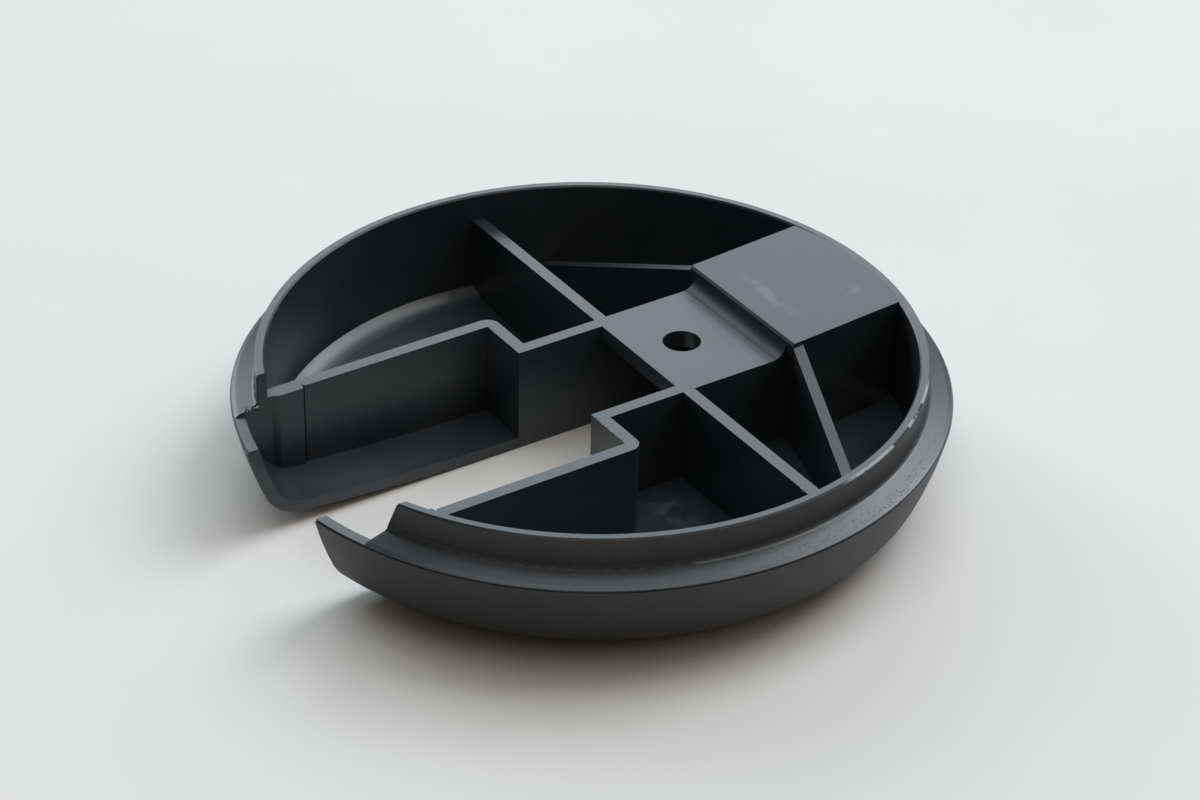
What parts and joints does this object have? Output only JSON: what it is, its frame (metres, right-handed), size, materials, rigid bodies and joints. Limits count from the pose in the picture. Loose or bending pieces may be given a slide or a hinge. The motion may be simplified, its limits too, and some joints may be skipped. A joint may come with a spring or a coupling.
{
  "type": "plastic hole plug",
  "caption": "Domed round plastic hole plug with a short upright collar, a straight slot open to the rim, thin ribs inside and a stepped screw block.",
  "frame": {"origin": "on the collar's axis in the seat plane, where the panel's face lies", "axes": "+Z along the collar's axis, out of the dome towards the open ribbed side; -X out through the slot's mouth; +Y by the right-hand rule"},
  "size_m": [0.0635, 0.064, 0.0127],
  "materials": {
    "body": "dark blue-grey moulded plastic, satin inside, fine spark-eroded texture on the domed outside"
  },
  "bodies": {
    "root": {"plug": "body"}
  },
  "joints": []
}
